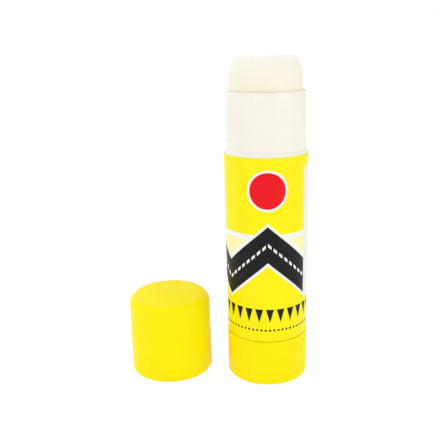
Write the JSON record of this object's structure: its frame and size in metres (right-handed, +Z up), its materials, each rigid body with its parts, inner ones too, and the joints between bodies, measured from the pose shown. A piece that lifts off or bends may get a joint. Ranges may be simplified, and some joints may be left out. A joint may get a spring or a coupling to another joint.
{
  "type": "glue stick",
  "caption": "Twist-up glue stick standing open: labelled tube, bare neck, glue wound out past the rim by a screw and carrier, with its pull-off cap standing beside it.",
  "frame": {"origin": "centre of the knob's flat foot, where the stick's axis meets the table it stands on", "axes": "+Z up along the stick, from the knob to the glue; -Y towards the printed front; the cap stands apart on the -X side"},
  "size_m": [0.0576, 0.0294, 0.0996],
  "materials": {
    "natural_plastic": "ivory polypropylene, moulded, softly translucent, low sheen",
    "label_film": "printed plastic film, yellow ground with a black and white zigzag band, red discs, a row of small black triangles and a white panel with ruled lines",
    "yellow_plastic": "bright yellow polypropylene, moulded, satin",
    "white_plastic": "white polypropylene, moulded",
    "glue": "cast glue, creamy white, waxy and softly translucent"
  },
  "bodies": {
    "tube": {"tube": "natural_plastic", "label": "label_film"},
    "knob": {"knob": "yellow_plastic", "spindle": "white_plastic"},
    "carrier": {"carrier": "white_plastic", "glue": "glue"},
    "cap": {"cap": "yellow_plastic"}
  },
  "joints": [
    {"name": "knob_turn", "type": "hinge", "parent": "tube", "child": "knob", "pos_m": [0, 0, 0.0147], "axis": [0, 0, 1], "range_deg": [-720, 2310]},
    {"name": "carrier_slide", "type": "slide", "parent": "tube", "child": "carrier", "axis": [0, 0, 1], "range_m": [-0.013, 0.0417]},
    {"name": "cap_lift", "type": "slide", "parent": "tube", "child": "cap", "axis": [0, 0, 1], "range_m": [0, 0.12]}
  ],
  "couplings": [
    {"joint": "knob_turn", "follows": "carrier_slide", "rad_per_m": 966.64}
  ]
}
